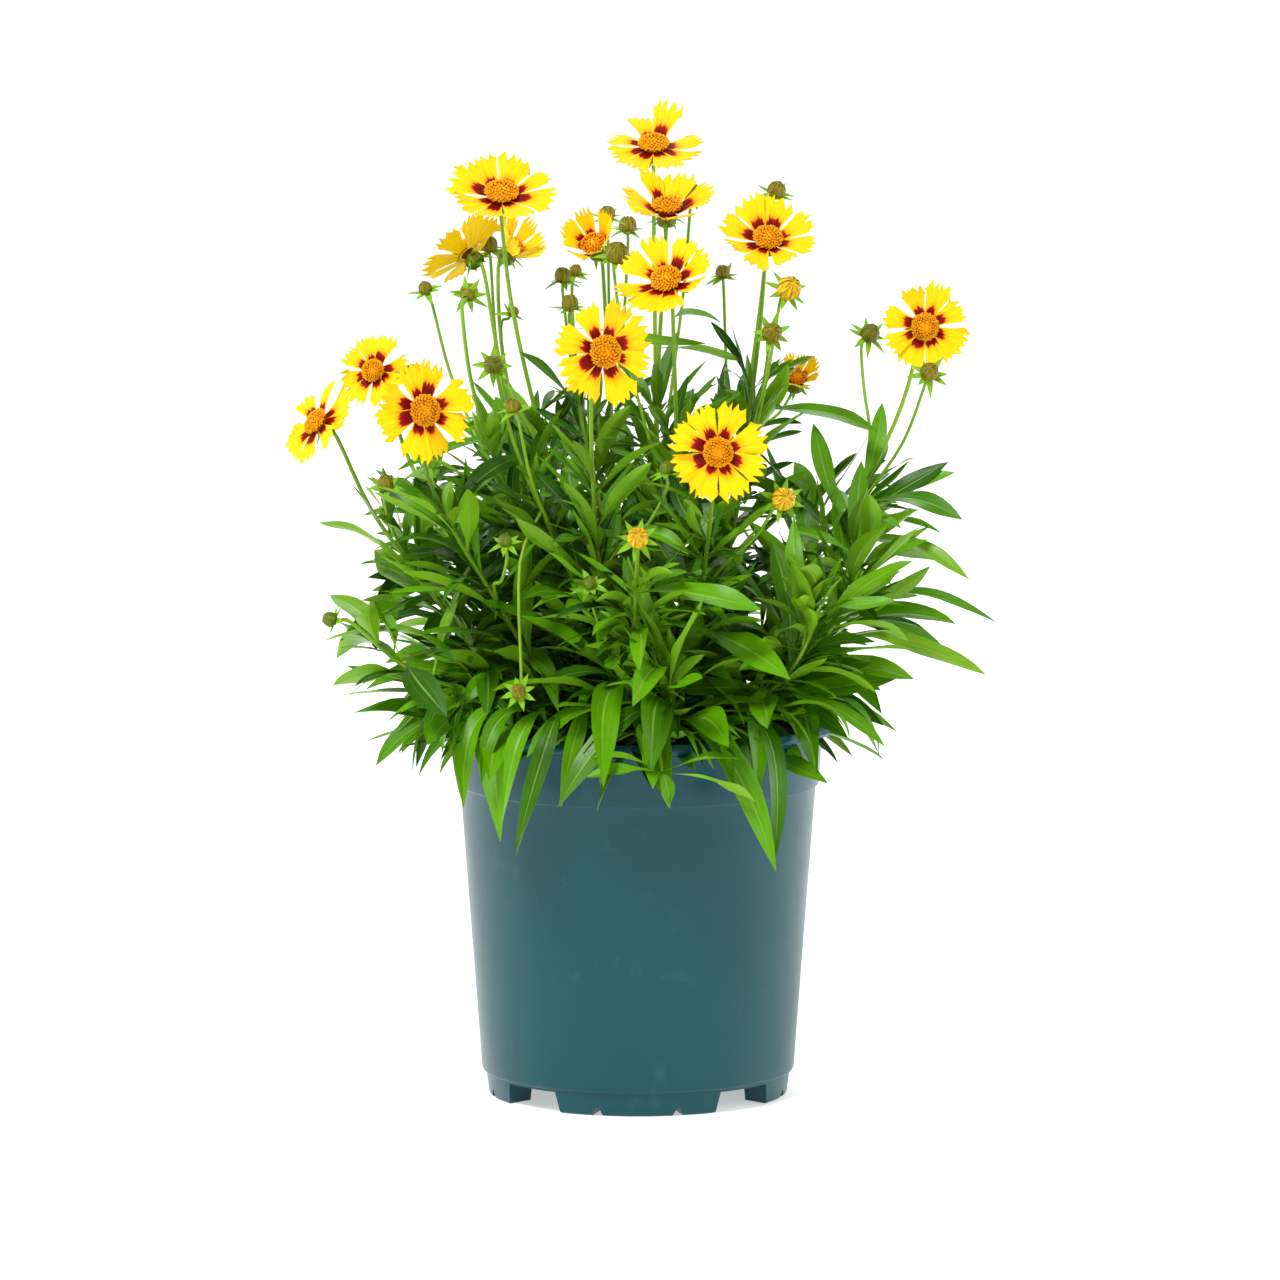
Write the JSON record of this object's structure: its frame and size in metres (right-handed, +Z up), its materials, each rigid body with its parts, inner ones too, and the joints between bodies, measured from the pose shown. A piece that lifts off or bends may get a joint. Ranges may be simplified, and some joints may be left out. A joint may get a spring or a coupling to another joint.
{
  "type": "coreopsis in a nursery pot",
  "caption": "Bushy coreopsis with yellow daisy-like blooms, each with a dark red eye, buds and lance-shaped leaves, growing in a teal plastic nursery pot.",
  "frame": {"origin": "on the floor under the pot's axis, at the level of the underside of its feet", "axes": "+Z up along the pot's axis; -Y is the front that the picture shows; +X is to the right in it"},
  "size_m": [0.2737, 0.256, 0.38],
  "materials": {
    "pot": "satin moulded plastic",
    "soil": "rough bark and peat mix",
    "foliage": "leaf, slightly waxy",
    "petals": "matt petal",
    "disc": "velvety florets"
  },
  "bodies": {
    "root": {"pot": "pot", "soil": "soil", "shoot_top": "foliage", "shoot_left_high": "foliage", "shoot_left_turned": "foliage", "shoot_left_back": "foliage", "shoot_mid_high": "foliage", "shoot_mid_young": "foliage", "shoot_mid": "foliage", "shoot_right_high": "foliage", "shoot_right_back": "foliage", "shoot_centre": "foliage", "shoot_right": "foliage", "shoot_left": "foliage", "shoot_left_mid": "foliage", "shoot_far_left": "foliage", "shoot_front": "foliage", "shoot_pair": "foliage", "shoot_buds_left": "foliage", "shoot_star": "foliage", "shoot_orange": "foliage", "shoot_low_left": "foliage", "leafy_front": "foliage", "leafy_right_front": "foliage", "leafy_right": "foliage", "leafy_right_back": "foliage", "leafy_back": "foliage", "leafy_left_back": "foliage", "rays_bloom_top": "petals", "disc_bloom_top": "disc", "rays_bloom_left_high": "petals", "disc_bloom_left_high": "disc", "rays_bloom_left_turned": "petals", "disc_bloom_left_turned": "disc", "rays_bloom_left_back": "petals", "disc_bloom_left_back": "disc", "rays_bloom_mid_high": "petals", "disc_bloom_mid_high": "disc", "rays_bloom_mid_young": "petals", "disc_bloom_mid_young": "disc", "rays_bloom_mid": "petals", "disc_bloom_mid": "disc", "rays_bloom_right_high": "petals", "disc_bloom_right_high": "disc", "rays_bloom_centre": "petals", "disc_bloom_centre": "disc", "rays_bloom_right": "petals", "disc_bloom_right": "disc", "rays_bloom_left": "petals", "disc_bloom_left": "disc", "rays_bloom_left_mid": "petals", "disc_bloom_left_mid": "disc", "rays_bloom_far_left": "petals", "disc_bloom_far_left": "disc", "rays_bloom_front": "petals", "disc_bloom_front": "disc", "rays_bloom_right_young": "petals", "disc_bloom_right_young": "disc"}
  },
  "joints": []
}
